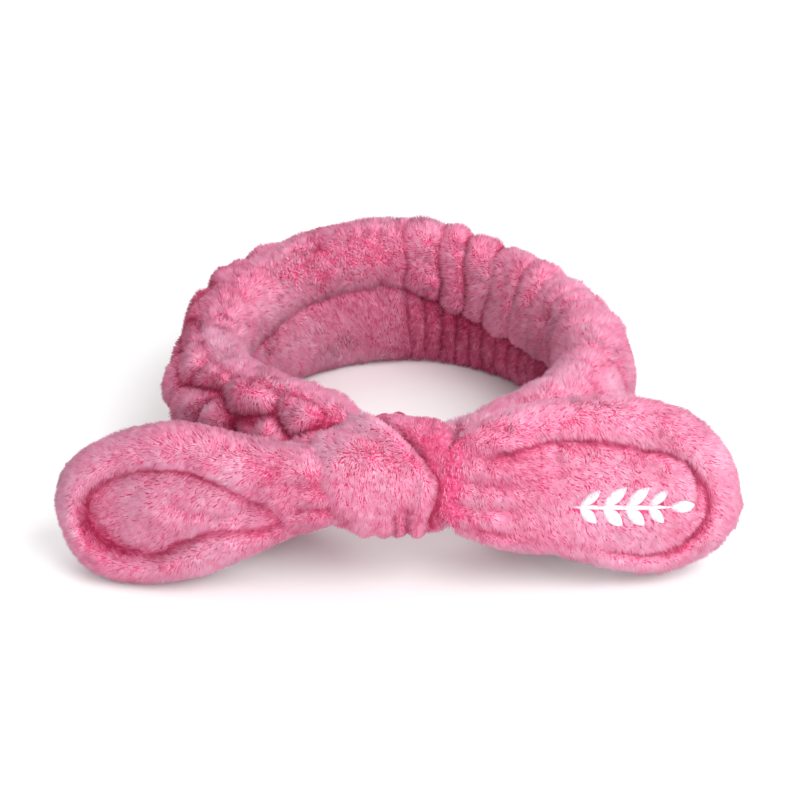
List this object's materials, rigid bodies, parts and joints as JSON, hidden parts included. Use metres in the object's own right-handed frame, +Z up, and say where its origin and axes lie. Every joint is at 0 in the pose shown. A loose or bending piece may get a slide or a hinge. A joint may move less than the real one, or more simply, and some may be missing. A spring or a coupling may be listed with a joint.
{
  "type": "spa headband",
  "caption": "Stretch spa headband: gathered plush tube ring with a wrapped front knot, padded topstitched ears that flop, and a stitched leaf sprig on one ear.",
  "frame": {"origin": "centre of the head opening, in the plane that the band rests on", "axes": "+Z up along the axis of the head opening; the knot and the ears are on the -Y side; +X is the side of the embroidered ear"},
  "size_m": [0.2188, 0.1869, 0.06],
  "materials": {
    "plush_band": "fluffy coral fleece, pile about 4 mm",
    "plush_bow": "coral fleece with a shorter combed nap, about 3 mm",
    "thread_pink": "matt polyester thread",
    "thread_white": "glossy satin-stitch embroidery thread",
    "elastic": "flat woven elastic",
    "wadding": "loose polyester wadding",
    "stabiliser": "matt non-woven sheet"
  },
  "bodies": {
    "front": {"band_cover_front": "plush_band", "band_elastic_front": "elastic", "band_seam_front": "thread_pink", "elastic_stitch": "thread_pink", "knot_wrap": "plush_bow", "knot_overlap": "plush_bow", "knot_core": "plush_bow", "knot_tack": "thread_pink"},
    "rear": {"band_cover_rear": "plush_band", "band_elastic_rear": "elastic", "band_seam_rear": "thread_pink"},
    "left_neck": {"ear_left_neck": "plush_bow"},
    "right_neck": {"ear_right_neck": "plush_bow"},
    "left_ear": {"ear_left_front": "plush_bow", "ear_left_back": "plush_bow", "ear_left_wadding": "wadding", "ear_left_topstitch": "thread_pink", "ear_left_edge_seam": "thread_pink"},
    "right_ear": {"ear_right_front": "plush_bow", "ear_right_back": "plush_bow", "ear_right_wadding": "wadding", "ear_right_topstitch": "thread_pink", "ear_right_edge_seam": "thread_pink", "motif": "thread_white", "motif_backing": "stabiliser"}
  },
  "joints": [
    {"name": "band_stretch", "type": "slide", "parent": "front", "child": "rear", "axis": [0, 1, 0], "range_m": [0, 0.06], "stiffness_N_per_m": 60},
    {"name": "left_ear_swing", "type": "hinge", "parent": "front", "child": "left_neck", "pos_m": [-0.026, -0.087, 0.034], "axis": [0.0325, 0.2054, 0.9781], "range_deg": [-8, 50], "stiffness_Nm_per_rad": 0.2},
    {"name": "left_ear_lift", "type": "hinge", "parent": "left_neck", "child": "left_ear", "pos_m": [-0.03687, -0.08528, 0.034], "axis": [0.153, 0.9661, -0.2079], "range_deg": [-12, 40], "stiffness_Nm_per_rad": 0.2},
    {"name": "right_ear_swing", "type": "hinge", "parent": "front", "child": "right_neck", "pos_m": [0.026, -0.087, 0.034], "axis": [0.0325, -0.2054, -0.9781], "range_deg": [-8, 50], "stiffness_Nm_per_rad": 0.2},
    {"name": "right_ear_lift", "type": "hinge", "parent": "right_neck", "child": "right_ear", "pos_m": [0.03687, -0.08528, 0.034], "axis": [0.153, -0.9661, 0.2079], "range_deg": [-12, 40], "stiffness_Nm_per_rad": 0.2}
  ]
}
